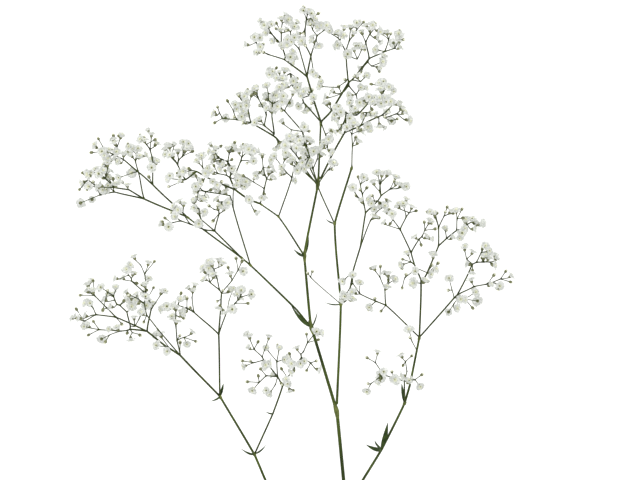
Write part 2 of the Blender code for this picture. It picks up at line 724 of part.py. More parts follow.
def turn_of(base, direction):
    """The turn of a three-point ring round a direction that best continues the base ring."""
    side, up = ring_axes(direction)
    middle = sum((vertex.co for vertex in base), Vector()) / 3
    total = Vector((0, 0))
    for step, vertex in enumerate(base):
        offset = vertex.co - middle
        angle = math.atan2(offset.dot(up), offset.dot(side)) - math.tau * step / 3
        total += Vector((math.cos(angle), math.sin(angle)))
    return math.atan2(total.y, total.x)


def bridge(mesh, base, ring):
    for step in range(len(base)):
        after = (step + 1) % len(base)
        mesh.faces.new((base[step], base[after], ring[after]))
        mesh.faces.new((base[step], ring[after], ring[step]))


def add_ring(mesh, base, centre, direction, radius, turn):
    ring = [mesh.verts.new(point) for point in ring_points(centre, direction, radius, turn)]
    bridge(mesh, base, ring)
    return ring


def outline_point(centre, facing, turn, step):
    """A point of the bloom's rim: the tip of a petal, or the notch between two."""
    tip = step % 2 == 0
    radius = BLOOM_DIAMETER / 2 * (1 if tip else NOTCH_SHARE)
    side, up = ring_axes(facing)
    angle = turn + math.tau * step / (2 * PETALS)
    return centre + radius * (math.cos(angle) * side + math.sin(angle) * up)


def add_bloom(mesh, base, bloom):
    """A shallow cup whose rim has five petals, flat in front where it lies on the table."""
    turn = turn_of(base, bloom.facing)
    ring = add_ring(mesh, base, bloom.back(), bloom.facing, 1.9 * THINNEST_STALK_RADIUS, turn)
    hollow = 0 if bloom.kind == "resting bloom" else BLOOM_HOLLOW
    rim = []
    for step in range(2 * PETALS):
        sunk = 0 if step % 2 == 0 else hollow
        rim.append(mesh.verts.new(outline_point(bloom.place - bloom.facing * sunk, bloom.facing, turn, step)))
    near = [round(3 * step / len(rim)) % 3 for step in range(len(rim))]
    for step in range(len(rim)):
        after = (step + 1) % len(rim)
        mesh.faces.new((ring[near[step]], rim[after], rim[step]))
        if near[after] != near[step]:
            mesh.faces.new((ring[near[step]], ring[near[after]], rim[after]))
    notches = rim[1::2]
    for step, tip in enumerate(rim[0::2]):
        mesh.faces.new((notches[step - 1], tip, notches[step]))
    for step in range(1, PETALS - 1):
        mesh.faces.new((notches[0], notches[step], notches[step + 1]))


def add_bud(mesh, base, bud):
    turn = turn_of(base, bud.facing)
    ring = add_ring(mesh, base, bud.back(), bud.facing, 1.3 * THINNEST_STALK_RADIUS, turn)
    ring = add_ring(mesh, ring, bud.place, bud.facing, BUD_DIAMETER / 2, turn)
    apex = mesh.verts.new(bud.place + bud.facing * 0.5 * BUD_LENGTH)
    for step in range(3):
        mesh.faces.new((ring[step], ring[(step + 1) % 3], apex))


def gather(fork):
    """Put a subfork on the way to the closest pair of children until a fork has no more than three."""
    while len(fork.children) > 3:
        pairs = itertools.combinations(fork.children, 2)
        first, second = max(pairs, key=lambda pair: pair[0].along().dot(pair[1].along()))
        middle = (first.place + second.place) / 2 - fork.place
        reach_share = min(0.4, 3.5 / middle.length)
        subfork = Joint(fork.place + middle * reach_share, fork)
        for child in (first, second):
            fork.children.remove(child)
            child.parent = subfork
            subfork.children.append(child)
    for child in fork.children:
        gather(child)


def knuckle_turn(direction, children, first_turn):
    """Turn the ring under a fork so that each of its three upper faces looks along one child."""
    side, up = ring_axes(direction)
    best = None
    for step in range(36):
        turn = math.tau * step / 108
        faces = []
        for number in range(3):
            angle = turn + math.tau * (number + 0.5) / 3
            faces.append((math.cos(angle) * side + math.sin(angle) * up + 0.6 * direction).normalized())
        for order in itertools.permutations(range(3), len(children)):
            looks = [child.along().dot(faces[number]) for child, number in zip(children, order)]
            score = min(looks) + 0.2 * sum(looks)
            if best is None or score > best[0]:
                best = (score, turn, order)
    _, turn, order = best
    shift = round((first_turn - turn) / (math.tau / 3))
    return turn + shift * math.tau / 3, [(number - shift) % 3 for number in order]


def carries_a_spray(fork):
    return bool(fork.seated)


def grow(mesh, base, joint):
    """Skin the twig from a ring or knuckle face to a joint, and whatever grows on from there."""
    if joint.kind in ("bloom", "resting bloom"):
        add_bloom(mesh, base, joint)
        return
    if joint.kind == "bud":
        add_bud(mesh, base, joint)
        return
    direction = joint.along()
    turn = turn_of(base, direction)
    radius = joint.radius()
    if carries_a_spray(joint):
        base = add_ring(mesh, base, joint.place - direction * 2.2, direction, radius, turn)
        turn = turn_of(base, direction)
    if len(joint.children) == 1:
        onward = (direction + joint.children[0].along()).normalized()
        swell = NODE_SWELL if carries_a_spray(joint) else 1.0
        ring = add_ring(mesh, base, joint.place, onward, radius * swell, turn_of(base, onward))
        if carries_a_spray(joint):
            after = joint.children[0].along()
            radius = joint.children[0].radius()
            ring = add_ring(mesh, ring, joint.place + after * 2.2, after, radius, turn_of(ring, after))
        grow(mesh, ring, joint.children[0])
        return
    if not joint.children:
        ring = add_ring(mesh, base, joint.place, direction, radius * NODE_SWELL, turn)
        apex = mesh.verts.new(joint.place + direction * radius)
        order = []
    else:
        turn, order = knuckle_turn(direction, joint.children, turn)
        ring = add_ring(mesh, base, joint.place - direction * 0.5 * radius, direction, radius * 1.35, turn)
        apex = mesh.verts.new(joint.place + direction * 1.1 * radius)
    for number in range(3):
        face = (ring[number], ring[(number + 1) % 3], apex)
        if number in order:
            grow(mesh, face, joint.children[order.index(number)])
        else:
            mesh.faces.new(face)


def is_inside(point, tree):
    """Whether a ray from the point leaves a closed body an odd number of times."""
    way = Vector((0.31, 0.52, 0.79)).normalized()
    crossings = 0
    place = tree.ray_cast(point, way)[0]
    while place is not None:
        crossings += 1
        place = tree.ray_cast(place + way * 0.001, way)[0]
    return crossings % 2 == 1


def clear_of(points, trees):
    """Whether every point is outside each body by the seat gap."""
    for tree in trees:
        for point in points:
            distance = tree.find_nearest(point)[3]
            if distance < SEAT_GAP or (distance < THICKEST_STEM_RADIUS and is_inside(point, tree)):
                return False
    return True


def as_obstacle(mesh):
    mesh.normal_update()
    return BVHTree.FromBMesh(mesh)


def root_ring(root, child, trees):
    """The first ring of a spray: walked in along its first twig until it sits on what carries it."""
    direction = (child.place - root.place).normalized()
    radius = child.radius()
    length = (child.place - root.place).length
    seat = None
    for step in range(200):
        distance = 0.6 * length * (1 - step / 200)
        points = ring_points(root.place + direction * distance, direction, radius, 0)
        middle = sum(points, Vector()) / len(points)
        if not clear_of(points + [middle], trees):
            break
        seat = points
    return seat or ring_points(root.place + direction * 0.6 * length, direction, radius, 0)


def skin_spray(root, trees):
    mesh = bmesh.new()
    gather(root)
    child = root.children[0]
    base = [mesh.verts.new(point) for point in root_ring(root, child, trees)]
    mesh.faces.new(reversed(base))
    grow(mesh, base, child)
    return mesh


# The main stem and the leaves

def skin_rings(rings):
    """A closed body through rings of equally many points, with a flat cap at each end."""
    mesh = bmesh.new()
    rings = [[mesh.verts.new(point) for point in ring] for ring in rings]
    for before, after in zip(rings, rings[1:]):
        bridge(mesh, before, after)
    mesh.faces.new(reversed(rings[0]))
    mesh.faces.new(rings[-1])
    bmesh.ops.triangulate(mesh, faces=[face for face in mesh.faces if len(face.verts) > 3])
    return mesh


def main_stem():
    places = [spot(x, y, height) for x, y, height, _ in MAIN_STEM]
    rings = []
    for index, (place, row) in enumerate(zip(places, MAIN_STEM)):
        before = places[max(0, index - 1)]
        after = places[min(len(places) - 1, index + 1)]
        direction = (after - before).normalized()
        side = direction.cross(Vector((0, 0, 1))).normalized()
        up = side.cross(direction)
        angles = [math.tau * (step + 0.5) / STEM_SIDES for step in range(STEM_SIDES)]
        rings.append([place + row[3] * (math.cos(angle) * side - math.sin(angle) * up) for angle in angles])
    return skin_rings(rings)


def leaf_ring(foot, end, share, wide, width, droop):
    flat = (end - foot).normalized()
    side = flat.cross(Vector((0, 0, 1))).normalized()
    up = side.cross(flat)
    middle = foot.lerp(end, share) + up * droop * 4 * share * (1 - share)
    half = wide * width / 2
    thick = LEAF_THICKNESS / 2 * (1 if 0 < share < 1 else 0.8)
    return [middle + up * thick, middle + side * half, middle - up * thick, middle - side * half]


def leaf(node, tip, width, droop, clearance, trees):
    """A narrow blade, thick along its middle, walked in from its tip until its foot sits by its node."""
    start, end = spot(*node), spot(*tip)
    flat = (end - start).normalized()
    seat = None
    for step in range(80):
        foot = start + flat * (clearance + 6 - 0.1 * step)
        if clear_of(leaf_ring(foot, end, *LEAF_SHAPE[0], width, droop), trees):
            seat = foot
        elif seat is not None:
            break
    foot = foot if seat is None else seat
    return skin_rings([leaf_ring(foot, end, share, wide, width, droop) for share, wide in LEAF_SHAPE])


# Making the scene objects

def paint(name, colour, roughness):
    material = bpy.data.materials.new(name)
    material.use_nodes = True
    shader = material.node_tree.nodes["Principled BSDF"]
    shader.inputs["Base Color"].default_value = colour
    shader.inputs["Roughness"].default_value = roughness
    shader.inputs["Metallic"].default_value = 0.0
    return material


def finish(name, mesh, collection, colour, roughness, shift):
    """Make a scene object, in metres, of a mesh in millimetres."""
    bmesh.ops.translate(mesh, verts=mesh.verts, vec=shift)
    bmesh.ops.scale(mesh, verts=mesh.verts, vec=(MM, MM, MM))
    data = bpy.data.meshes.new(name)
    mesh.to_mesh(data)
    mesh.free()
    data.materials.append(paint(name, colour, roughness))
    collection.objects.link(bpy.data.objects.new(name, data))


def bottom_centre(meshes):
    points = [vertex.co for mesh in meshes for vertex in mesh.verts]
    lows = [min(point[axis] for point in points) for axis in range(3)]
    highs = [max(point[axis] for point in points) for axis in range(3)]
    return Vector(((lows[0] + highs[0]) / 2, (lows[1] + highs[1]) / 2, lows[2]))


def main():
    for item in list(bpy.data.objects):
        bpy.data.objects.remove(item)
    chance = random.Random(SEED)
    collection = bpy.data.collections.new("gypsophila_stem")
    bpy.context.scene.collection.children.link(collection)
    sprays = {name: read_spray(rows, chance) for name, rows in SPRAYS.items()}
    seat_sprays(sprays)
    part_flowers(sprays)
    meshes = {"main_stem": main_stem()}
    trees = [as_obstacle(meshes["main_stem"])]
    for name, root in sprays.items():
        meshes[name] = skin_spray(root, trees)
        trees.append(as_obstacle(meshes[name]))
    for name, row in LEAVES.items():
        meshes[name] = leaf(*row, trees)
        trees.append(as_obstacle(meshes[name]))
    shift = -bottom_centre(meshes.values())
    for name, mesh in meshes.items():
        colour = DARK_GREEN if name.startswith("leaf") else GREEN
        colour = PALE if name.endswith("spray") else colour
        finish(name, mesh, collection, colour, 0.6, shift)


main()
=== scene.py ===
# %% [markdown]
# # A stem of gypsophila, dressed
#
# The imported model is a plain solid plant: three-sided twigs, and blooms that are five-lobed cups.
# This lesson reads the places and directions of its twigs, blooms, buds and leaves back from the
# solids, and grows round twigs, frilled white blooms, buds and bowed leaves over them.
# Copying the places by hand would be the other way, but then one change of the solid plant would
# leave the looks behind.

# %% Load the fixed frame
import math
import random

import bpy
import numpy as np
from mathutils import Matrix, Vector


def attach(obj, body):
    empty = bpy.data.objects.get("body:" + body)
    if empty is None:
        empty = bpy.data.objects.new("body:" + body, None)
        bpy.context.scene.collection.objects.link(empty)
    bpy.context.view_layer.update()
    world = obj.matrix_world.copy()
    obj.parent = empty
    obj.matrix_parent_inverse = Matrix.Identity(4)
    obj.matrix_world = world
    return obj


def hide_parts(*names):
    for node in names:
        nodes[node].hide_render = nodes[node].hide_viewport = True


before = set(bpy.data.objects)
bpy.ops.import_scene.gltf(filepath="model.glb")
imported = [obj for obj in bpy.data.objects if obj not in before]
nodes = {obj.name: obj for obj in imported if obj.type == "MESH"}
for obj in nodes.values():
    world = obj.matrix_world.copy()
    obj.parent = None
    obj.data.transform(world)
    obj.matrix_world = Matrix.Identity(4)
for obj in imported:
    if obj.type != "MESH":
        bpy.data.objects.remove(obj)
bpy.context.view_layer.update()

MM = 0.001
print("solid nodes:", len(nodes))

# %% [markdown]
# ## Shader maths as plain sums
#
# A material's pattern is a chain of small nodes. Wiring them one by one hides the idea, so a socket
# is wrapped in a class whose plus and times add the Math nodes. Colours take another road: a Math
# node would turn them grey, so they go through a Mix node.

# %% A socket that can be reckoned with
class Wire:
    def __init__(self, tree, socket):
        self.tree = tree
        self.socket = socket

    def reckon(self, operation, other):
        return add_node(self.tree, "ShaderNodeMath", {"operation": operation}, {0: self, 1: other})

    def __add__(self, other):
        return self.reckon("ADD", other)

    def __mul__(self, other):
        return self.reckon("MULTIPLY", other)

    __radd__ = __add__
    __rmul__ = __mul__


def add_node(tree, kind, settings, values, output=0):
    """Add a node, set its settings first, then its sockets, and hand back one output as a Wire."""
    node = tree.nodes.new(kind)
    for name, setting in settings.items():
        setattr(node, name, setting)
    for name, value in values.items():
        if isinstance(value, Wire):
            tree.links.new(value.socket, node.inputs[name])
        else:
            node.inputs[name].default_value = value
    return Wire(tree, node.outputs[output])


def mix_colours(tree, share, first, second):
    """Blend two colours. The Mix node's colour sockets are numbers 6 and 7, its colour output 2."""
    return add_node(tree, "ShaderNodeMix", {"data_type": "RGBA"}, {0: share, 6: first, 7: second}, 2)


def noise(tree, scale, detail=3.0, stretch=(1, 1, 1)):
    """Soft blotches in the object's own coordinates; a stretch under 1 draws them out that way."""
    place = add_node(tree, "ShaderNodeTexCoord", {}, {}, "Object")
    spread = add_node(tree, "ShaderNodeMapping", {}, {"Vector": place, "Scale": stretch})
    values = {"Vector": spread, "Scale": scale, "Detail": detail}
    return add_node(tree, "ShaderNodeTexNoise", {}, values, "Fac")


# %% A finish with its pattern
DULL_SHINE = 0.2
BLEND_FROM, BLEND_TO = 0.32, 0.68
ROUGHNESS_SWING = 0.1
BLOTCH_DETAIL, GRAIN_DETAIL = 4.0, 5.0
GRAIN_HEIGHT = 0.2 * MM


def light_of(channel):
    """A screen value from 0 to 255 as a share of light: straight near black, then a power curve."""
    share = channel / 255
    return share / 12.92 if share < 0.04 else ((share + 0.055) / 1.055) ** 2.4


def linear(colour):
    """A screen colour as the shader's linear light, opaque."""
    return (*map(light_of, colour), 1.0)


def finish(name, dark, light, blotches, roughness, bump, grain, stretch=(1, 1, 1), glow=0.0, cover=0.0):
    """A material that wanders between two colours and has a fine uneven surface."""
    material = bpy.data.materials.new(name)
    material.use_nodes = True
    tree = material.node_tree
    shader = tree.nodes["Principled BSDF"]
    cloud = noise(tree, blotches, BLOTCH_DETAIL, stretch)
    blend = {"Value": cloud, "From Min": BLEND_FROM, "From Max": BLEND_TO}
    share = add_node(tree, "ShaderNodeMapRange", {}, blend)
    colour = mix_colours(tree, share, linear(dark), linear(light))
    tree.links.new(colour.socket, shader.inputs["Base Color"])
    uneven = roughness - ROUGHNESS_SWING + 2 * ROUGHNESS_SWING * noise(tree, 3 * blotches)
    tree.links.new(uneven.socket, shader.inputs["Roughness"])
    height = noise(tree, grain, GRAIN_DETAIL, stretch)
    relief = {"Strength": bump, "Distance": GRAIN_HEIGHT, "Height": height}
    tilt = add_node(tree, "ShaderNodeBump", {}, relief, "Normal")
    tree.links.new(tilt.socket, shader.inputs["Normal"])
    shader.inputs["Coat Weight"].default_value = cover
    shader.inputs["Specular IOR Level"].default_value = DULL_SHINE
    # A glow makes the surface shine a little in its light colour; on petals, buds and hearts it is
    # painted light
    if glow:
        shader.inputs["Emission Color"].default_value = linear(light)
        shader.inputs["Emission Strength"].default_value = glow
    return material


# %% [markdown]
# ## The colours of the plant
#
# The stem is a waxy olive green, its nodes are paler and a little yellow, and the thin twigs look
# nearly black-green against white. Petals are not pure white: the grey in their colour is painted
# shade of their folds, laid at random through noise, and they turn cream towards the heart. One flat
# colour would look like plastic, so each finish blends two colours through noise. They were set,
# then corrected a few times where the average tone of a broad region was off. Petals, buds and
# hearts also glow a little. This glow is painted light: it stands in for light shining through them
# and lifts the shade between the petals, where a plain sheet would only reflect light.
# region was off. Petals and buds also glow a little, because light shines through them and a plain
# sheet would only reflect it.

# %% Mix the finishes
LOOKS = {
    "stem_green": dict(
        dark=(48, 64, 20), light=(90, 108, 40), blotches=160, roughness=0.55,
        bump=0.35, grain=900, stretch=(1, 0.15, 1), cover=0.03,
    ),
    "node_green": dict(
        dark=(82, 96, 42), light=(132, 142, 76), blotches=220, roughness=0.5, bump=0.3, grain=900,
    ),
    "twig_green": dict(
        dark=(46, 58, 22), light=(84, 97, 42), blotches=240, roughness=0.75, bump=0.3, grain=1200,
    ),
    # The glow of calyx, petals and heart is painted light: it stands in for light through them and
    # lifts their shade
    "calyx_green": dict(
        dark=(86, 94, 56), light=(162, 165, 126), blotches=700, roughness=0.7,
        bump=0.4, grain=2400, glow=0.04,
    ),
    # painted shade: the grey dark end stands for shaded folds, spread at random by the noise
    "petal_white": dict(
        dark=(182, 186, 180), light=(248, 249, 246), blotches=760, roughness=0.7,
        bump=0.5, grain=2600, glow=0.2,
    ),
    "petal_cream": dict(
        dark=(208, 210, 182), light=(240, 241, 222), blotches=760, roughness=0.7,
        bump=0.5, grain=2600, glow=0.25,
    ),
    "heart_olive": dict(
        dark=(82, 90, 38), light=(126, 132, 64), blotches=1600, roughness=0.7,
        bump=0.4, grain=3000, glow=0.05,
    ),
    "leaf_green": dict(
        dark=(36, 56, 20), light=(78, 100, 44), blotches=180, roughness=0.55,
        bump=0.4, grain=1100, cover=0.03,
    ),
}
finishes = {name: finish(name, **look) for name, look in LOOKS.items()}
print("finishes:", ", ".join(finishes))

# %% [markdown]
# ## Reading the solid plant
#
# A solid is only points and triangles, but its blooms, buds and twigs each leave a signature.
# A petal is a triangle with one side from notch to notch and two from notch to tip, a bud ends in
# three equal steep triangles, and every twig is a chain of small rings. So the triangles are sorted
# by the lengths of their sides.

# %% Points and triangles of a solid
PETALS = 5
BLOOM_RADIUS = 3.8 * MM
BLOOM_DEPTH = 3.3 * MM
NOTCH_RADIUS = 0.74 * BLOOM_RADIUS
BLOOM_HOLLOW = 0.9 * MM
BUD_SIDES = 3
BUD_RADIUS = 1.15 * MM
BUD_POINT = 1.45 * MM
BUD_DEPTH = 1.74 * MM
TOLERANCE = 0.02 * MM
SAME_SPOT_DIGITS = 7


def distance(first, second):
    return np.linalg.norm(first - second)


def unit(vector):
    return vector / np.linalg.norm(vector)


def solid_of(node):
    """The distinct points of a CAD node and its triangles."""
    mesh = node.data
    points = np.empty(3 * len(mesh.vertices))
    mesh.vertices.foreach_get("co", points)
    rounded = np.round(points.reshape(-1, 3), SAME_SPOT_DIGITS)
    spots, which = np.unique(rounded, axis=0, return_inverse=True)
    mesh.calc_loop_triangles()
    corners = np.empty(3 * len(mesh.loop_triangles), dtype=int)
    mesh.loop_triangles.foreach_get("vertices", corners)
    return spots, which.reshape(-1)[corners].reshape(-1, 3)


def edges_of(triangles):
    """The sides of the triangles as pairs of points, each side once."""
    sides = ((0, 1), (1, 2), (0, 2))
    return {tuple(sorted((int(three[a]), int(three[b])))) for three in triangles for a, b in sides}


def matching(spots, triangles, base, flank):
    """Triangles with one side as long as base and two as long as flank: their tops and their feet."""
    wanted = (base, flank, flank)
    found = []
    for triangle in triangles:
        for turn in range(3):
            top, left, right = np.roll(triangle, turn)
            sides = ((left, right), (top, left), (top, right))
            lengths = [distance(spots[a], spots[b]) for a, b in sides]
            if all(abs(length - aim) < TOLERANCE for length, aim in zip(lengths, wanted)):
                found.append((top, left, right))
                break
    return found


def grouped(items, links):
    """Split items into groups that are joined by links."""
    leader = {item: item for item in items}

    def head(item):
        while leader[item] != item:
            leader[item] = leader[leader[item]]
            item = leader[item]
        return item

    for first, second in links:
        leader[head(first)] = head(second)
    groups = {}
    for item in items:
        groups.setdefault(head(item), []).append(item)
    return list(groups.values())


# %% Blooms and buds of a solid
TABLE_TOUCH = 0.001 * MM
DOWNWARD = np.array((0.0, 0.0, -1.0))


def flower_at(kind, place, facing, points):
    """What is known of one flower: its middle, the way it looks and its points in the solid."""
    return {"kind": kind, "place": place, "facing": facing, "points": points}


def open_blooms(spots, triangles):
    """Blooms found by their petals: five tips round five notches that lie deeper in the cup."""
    half_petal = math.pi / PETALS
    base = 2 * NOTCH_RADIUS * math.sin(half_petal)
    flat = BLOOM_RADIUS**2 + NOTCH_RADIUS**2 - 2 * BLOOM_RADIUS * NOTCH_RADIUS * math.cos(half_petal)
    petals = matching(spots, triangles, base, math.sqrt(flat + BLOOM_HOLLOW**2))
    notches = sorted({foot for petal in petals for foot in petal[1:]})
    found = []
    for group in grouped(notches, [petal[1:] for petal in petals]):
        tips = [petal[0] for petal in petals if petal[1] in group]
        if len(tips) == PETALS:
            centre, sunk = spots[tips].mean(axis=0), spots[group].mean(axis=0)
            found.append(flower_at("bloom", centre, unit(centre - sunk), tips + group))
    return found


def resting_blooms(spots, triangles):
    """Blooms that lie face down: only their rims are at height 0, and edges join each rim."""
    low = {int(index) for index in np.flatnonzero(spots[:, 2] < TABLE_TOUCH)}
    links = [edge for edge in edges_of(triangles) if low.issuperset(edge)]
    rims = [group for group in grouped(sorted(low), links) if len(group) == 2 * PETALS]
    return [flower_at("bloom", spots[rim].mean(axis=0), DOWNWARD, rim) for rim in rims]


def closed_buds(spots, triangles):
    """Buds found by their points: three equal steep triangles that share one top."""
    side = BUD_RADIUS * math.sqrt(3)
    faces = matching(spots, triangles, side, math.hypot(BUD_RADIUS, BUD_POINT))
    found = []
    for apex in sorted({face[0] for face in faces}):
        ring = sorted({foot for face in faces if face[0] == apex for foot in face[1:]})
        if len(ring) == BUD_SIDES:
            place = spots[ring].mean(axis=0)
            found.append(flower_at("bud", place, unit(spots[apex] - place), ring + [apex]))
    return found


# %% The branching line inside a solid
class Fork:
    """One spot on the line of a twig, with the forks that it leads to and the flowers on it."""

    def __init__(self, place, radius):
        self.place = place
        self.radius = radius
        self.near = set()
        self.next = []
        self.flowers = []

    def burden(self):
        """How many flowers hang on this fork and beyond it, or one where there are none."""
        return max(1, len(self.flowers) + sum(fork.burden() for fork in self.next))


def read_forks(spots, edges, owner, ring_reach):
    """One fork for each small ring of points that no flower owns, told for every such point."""
    loose = [index for index in range(len(spots)) if index not in owner]
    short = [
        (a, b) for a, b in edges
        if a not in owner and b not in owner and distance(spots[a], spots[b]) < ring_reach
    ]
    home = {}
    for group in grouped(loose, short):
        centre = spots[group].mean(axis=0)
        fork = Fork(centre, np.linalg.norm(spots[group] - centre, axis=1).mean())
        home.update({point: fork for point in group})
    return home


def join_forks(edges, home, owner, flowers):
    """Make neighbours of forks that an edge joins, and give each fork the flowers it touches."""
    for a, b in edges:
        if a in home and b in home and home[a] is not home[b]:
            home[a].near.add(home[b])
            home[b].near.add(home[a])
        elif (a in home) != (b in home):
            fork, petal_point = (home[a], b) if a in home else (home[b], a)
            flower = flowers[owner[petal_point]]
            if all(flower is not other for other in fork.flowers):
                fork.flowers.append(flower)


def lead_onward(root):
    """Let every fork lead to its neighbours further from the root."""
    reached, row = {root}, [root]
    while row:
        fork = row.pop()
        for other in sorted(fork.near - reached, key=lambda item: tuple(item.place)):
            reached.add(other)
            fork.next.append(other)
            row.append(other)


def read_plant(node, ring_reach):
    """The root of a CAD node's tree of forks, and its blooms and buds."""
    spots, triangles = solid_of(node)
    finders = (open_blooms, resting_blooms, closed_buds)
    flowers = [flower for find in finders for flower in find(spots, triangles)]
    owner = {point: index for index, flower in enumerate(flowers) for point in flower["points"]}
    edges = edges_of(triangles)
    home = read_forks(spots, edges, owner, ring_reach)
    join_forks(edges, home, owner, flowers)
    forks = list(dict.fromkeys(home.values()))
    ends = [fork for fork in forks if len(fork.near) == 1 and not fork.flowers]
    root = min(ends or forks, key=lambda fork: fork.place[1])
    lead_onward(root)
    return root, flowers


def family(fork):
    """A fork and all the forks beyond it."""
    found, row = [], [fork]
    while row:
        found.append(row.pop())
        row += found[-1].next
    return found


# %% Read every node
STEM_RADII = {
    "second_stem": (1.0, 0.78),
    "left_low_branch": (1.05, 0.85),
    "right_low_branch": (1.05, 0.82),
    "upper_left_branch": (0.85, 0.6),
    "middle_left_branch": (0.8, 0.55),
}
MAIN_STEM_RING = 2.45 * MM
SIDE_STEM_RING = 2.3 * MM
TWIG_RING = 1.75 * MM


def ring_reach(name):
    """The longest edge that can still lie within one ring of a node's line."""
    if name == "main_stem":
        return MAIN_STEM_RING
    return SIDE_STEM_RING if name in STEM_RADII else TWIG_RING


branching = {name: node for name, node in nodes.items() if not name.startswith("leaf")}
plants = {name: read_plant(node, ring_reach(name)) for name, node in branching.items()}
all_forks = [(name, fork) for name, (root, _) in plants.items() for fork in family(root)]
kinds = [flower["kind"] for _, flowers in plants.values() for flower in flowers]
print("blooms:", kinds.count("bloom"), "buds:", kinds.count("bud"), "forks:", len(all_forks))

# %% [markdown]
# ## Round twigs
#
# A real twig is round, thinner than the solid one, bends a little between its forks and swells
# where it forks. Each stretch from fork to fork becomes a tube round a smooth curve. A skin
# modifier over the line would be quicker to write, but it can't hold such thin, even twigs.
# The five side stems taper evenly from a radius at their foot to one at their top. Both were
# judged from the photo, and STEM_RADII above lists them in millimetres.

# %% A curve between two forks
THIN_TWIG = 0.29 * MM
TWIG_SIDES, SEAT_SIDES, SIDE_STEM_SIDES, MAIN_STEM_SIDES = 6, 8, 10, 16
NEARLY_UPRIGHT = 0.9

# The finish slots of a stem: its plain skin and its paler nodes.
PLAIN, NODE = 0, 1


def curve_points(start, end, leave, arrive, steps):
    """Points on a smooth curve that leaves and arrives in given directions."""
    length = distance(end, start)
    points = []
    for step in range(steps + 1):
        t = step / steps
        a, b = 2 * t**3 - 3 * t**2 + 1, t**3 - 2 * t**2 + t
        c, d = 3 * t**2 - 2 * t**3, t**3 - t**2
        points.append(a * start + b * length * leave + c * end + d * length * arrive)
    return points


def across(direction):
    """Two directions square to a given one and to each other."""
    upright = abs(direction[2]) >= NEARLY_UPRIGHT
    helper = np.array((1.0, 0.0, 0.0)) if upright else np.array((0.0, 0.0, 1.0))
    side = unit(np.cross(direction, helper))
    return side, np.cross(side, direction)


class Heap:
    """Points and faces gathered from many small shapes, to become one mesh."""

    def __init__(self):
        self.points = []
        self.faces = []
        self.slots = []

    def add(self, points, faces, slots):
        start = len(self.points)
        self.points.extend(tuple(point) for point in points)
        self.faces.extend(tuple(corner + start for corner in face) for face in faces)
        self.slots.extend(slots)


def band_faces(rings, sides):
    """The four-cornered faces between rings of points that follow each other."""
    for ring in range(rings - 1):
        for step in range(sides):
            a, b = ring * sides + step, ring * sides + (step + 1) % sides
            yield a, b, b + sides, a + sides


def tube(heap, points, radii, sides, slots):
    """A round skin over a line of points, with a flat fan of triangles over each end."""
    skin = []
    for index, point in enumerate(points):
        before, after = points[max(0, index - 1)], points[min(len(points) - 1, index + 1)]
        side, up = across(unit(after - before))
        for step in range(sides):
            angle = math.tau * step / sides
            skin.append(point + radii[index] * (math.cos(angle) * side + math.sin(angle) * up))
    faces = list(band_faces(len(points), sides))
    paint = [slot for slot in slots for _ in range(sides)]
    last = len(skin)
    skin += [points[0], points[-1]]
    for step in range(sides):
        after = (step + 1) % sides
        faces.append((last, after, step))
        faces.append((last + 1, last - sides + step, last - sides + after))
        paint += [slots[0], slots[-1]]
    heap.add(skin, faces, paint)


# %% How thick a twig is, and one stretch of it
THICKENING = 0.22
SWELLING = 0.45
SWELLING_REACH = 1.1 * MM
THICKEST_TWIG = 0.5 * MM
STEP_LENGTH = 1.6 * MM
FEWEST_STEPS, MOST_STEPS = 3, 14


def twig_radius(fork):
    """A twig is the thicker, the more flowers it bears."""
    return THIN_TWIG * fork.burden() ** THICKENING


def stem_radius(name, line):
    """How thick a side stem is at any of its forks, tapering along the picture's height."""
    foot, top = STEM_RADII[name]
    low, high = line[0].place[1], line[-1].place[1]
    return lambda fork: (foot + (top - foot) * (fork.place[1] - low) / (high - low)) * MM


def stretch_between(heap, start, end, ways, radii, sides):
    """One twig from fork to fork, swollen at both ends; a stem gets its swellings as knots instead."""
    thick, thin = radii
    length = distance(end, start)
    swelling = SWELLING if thin < THICKEST_TWIG else 0.0
    steps = int(min(MOST_STEPS, max(FEWEST_STEPS, length / STEP_LENGTH)))
    sizes = []
    for step in range(steps + 1):
        share = step / steps
        near_end = min(share, 1 - share) * length / SWELLING_REACH
        sizes.append((thick + (thin - thick) * share) * (1 + swelling * math.exp(-(near_end**2))))
    tube(heap, curve_points(start, end, *ways, steps), sizes, sides, [PLAIN] * steps)


# %% The knot of a side stem
KNOT_RINGS = (-1, -0.6, -0.2, 0.2, 0.6, 1)
KNOT_BULGE, KNOT_FALL = 1.5, 0.52
SHORTEST_KNOT, KNOT_LENGTH = 1.7 * MM, 1.9


def knot(heap, place, along, radius):
    """The swollen node of a stem: a short spindle round a fork."""
    reach = max(SHORTEST_KNOT, KNOT_LENGTH * radius)
    points = [place + along * reach * ring for ring in KNOT_RINGS]
    radii = [radius * (KNOT_BULGE - KNOT_FALL * ring * ring) for ring in KNOT_RINGS]
    tube(heap, points, radii, SIDE_STEM_SIDES, [NODE] * (len(KNOT_RINGS) - 1))


# %% Grow the twigs of one spray
LOOK_AHEAD, LOOK_BACK = 0.22, 0.15
FORK_STEP = 1.15
STALK_TURN = 0.4
SHORTEST_STALK = 0.4 * MM
FLOWER_DEPTHS = {"bloom": BLOOM_DEPTH, "bud": BUD_DEPTH}


def foot_of(flower):
    """Where a flower's cup sits on its stalk."""
    return flower["place"] - flower["facing"] * FLOWER_DEPTHS[flower["kind"]]


